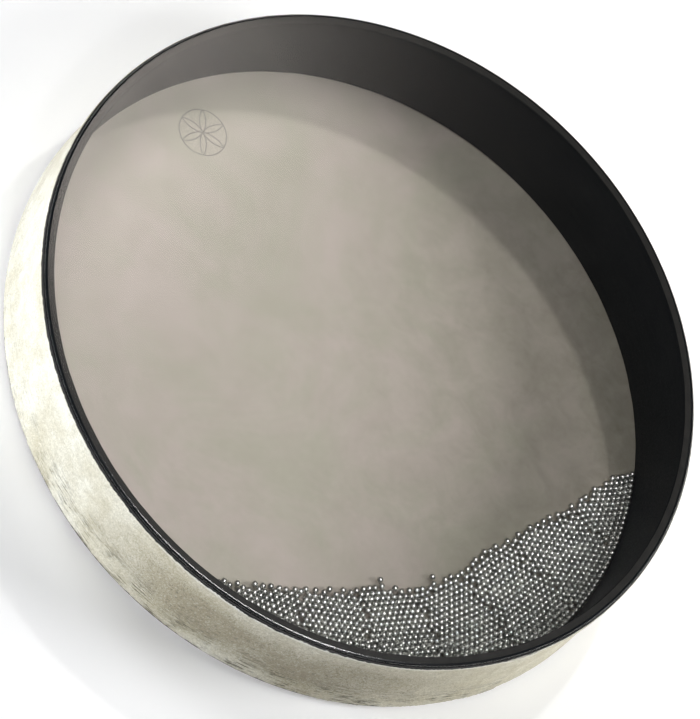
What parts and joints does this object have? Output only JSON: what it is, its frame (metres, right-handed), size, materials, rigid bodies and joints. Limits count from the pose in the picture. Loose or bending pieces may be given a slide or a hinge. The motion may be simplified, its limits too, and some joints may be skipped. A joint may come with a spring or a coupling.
{
  "type": "ocean drum",
  "caption": "Shallow round frame drum with a clear head, a parchment-coloured head and loose steel beads between them that roll as it tilts.",
  "frame": {"origin": "centre of the parchment head's outer face, which the drum lies on", "axes": "+Z is the drum's axis, from the parchment head to the clear head; the bead bed rests 28 degrees from +X towards -Y"},
  "size_m": [0.4068, 0.4068, 0.0635],
  "materials": {
    "shell_fibre": "black-stained laminated wood fibre, satin",
    "wrap_film": "parchment-look fibrous film, satin",
    "clear_film": "clear polyester film, glossy",
    "parchment_film": "cloudy parchment-look polyester film, satin",
    "black_tape": "black edge tape, satin",
    "glue": "cured clear adhesive over a dark edge",
    "steel": "bright polished steel balls"
  },
  "bodies": {
    "drum": {"shell": "shell_fibre", "shell_wrap": "wrap_film", "front_head": "clear_film", "front_head_collar": "clear_film", "back_head": "parchment_film", "back_head_collar": "parchment_film", "front_edge_tape": "black_tape", "back_edge_tape": "black_tape", "front_glue_ring": "glue", "back_glue_ring": "glue"},
    "bead_bed": {"bead_bed": "steel", "crest_bead_01": "steel", "crest_bead_02": "steel", "crest_bead_03": "steel", "crest_bead_04": "steel", "crest_bead_05": "steel", "crest_bead_06": "steel", "crest_bead_07": "steel", "crest_bead_08": "steel", "crest_bead_09": "steel", "crest_bead_10": "steel", "crest_bead_11": "steel", "crest_bead_12": "steel", "crest_bead_13": "steel", "crest_bead_14": "steel", "crest_bead_15": "steel", "crest_bead_16": "steel", "crest_bead_17": "steel", "crest_bead_18": "steel", "crest_bead_19": "steel", "crest_bead_20": "steel", "crest_bead_21": "steel", "crest_bead_22": "steel", "crest_bead_23": "steel", "crest_bead_24": "steel", "crest_bead_25": "steel", "crest_bead_26": "steel", "crest_bead_27": "steel", "crest_bead_28": "steel", "crest_bead_29": "steel", "crest_bead_30": "steel"},
    "running_bead_1": {"running_bead_1": "steel"},
    "running_bead_2": {"running_bead_2": "steel"},
    "wall_bead": {"wall_bead": "steel"}
  },
  "joints": [
    {"name": "bed_swing", "type": "hinge", "parent": "drum", "child": "bead_bed", "pos_m": [0, 0, 0.0025], "axis": [0, 0, 1], "continuous": true},
    {"name": "running_bead_1_travel", "type": "slide", "parent": "bead_bed", "child": "running_bead_1", "axis": [-0.8829, 0.4695, 0], "range_m": [0, 0.305]},
    {"name": "running_bead_2_travel", "type": "slide", "parent": "bead_bed", "child": "running_bead_2", "axis": [-0.8829, 0.4695, 0], "range_m": [0, 0.305]},
    {"name": "wall_bead_roll", "type": "hinge", "parent": "bead_bed", "child": "wall_bead", "pos_m": [0, 0, 0.0025], "axis": [0, 0, 1], "range_deg": [-220, 0]}
  ]
}
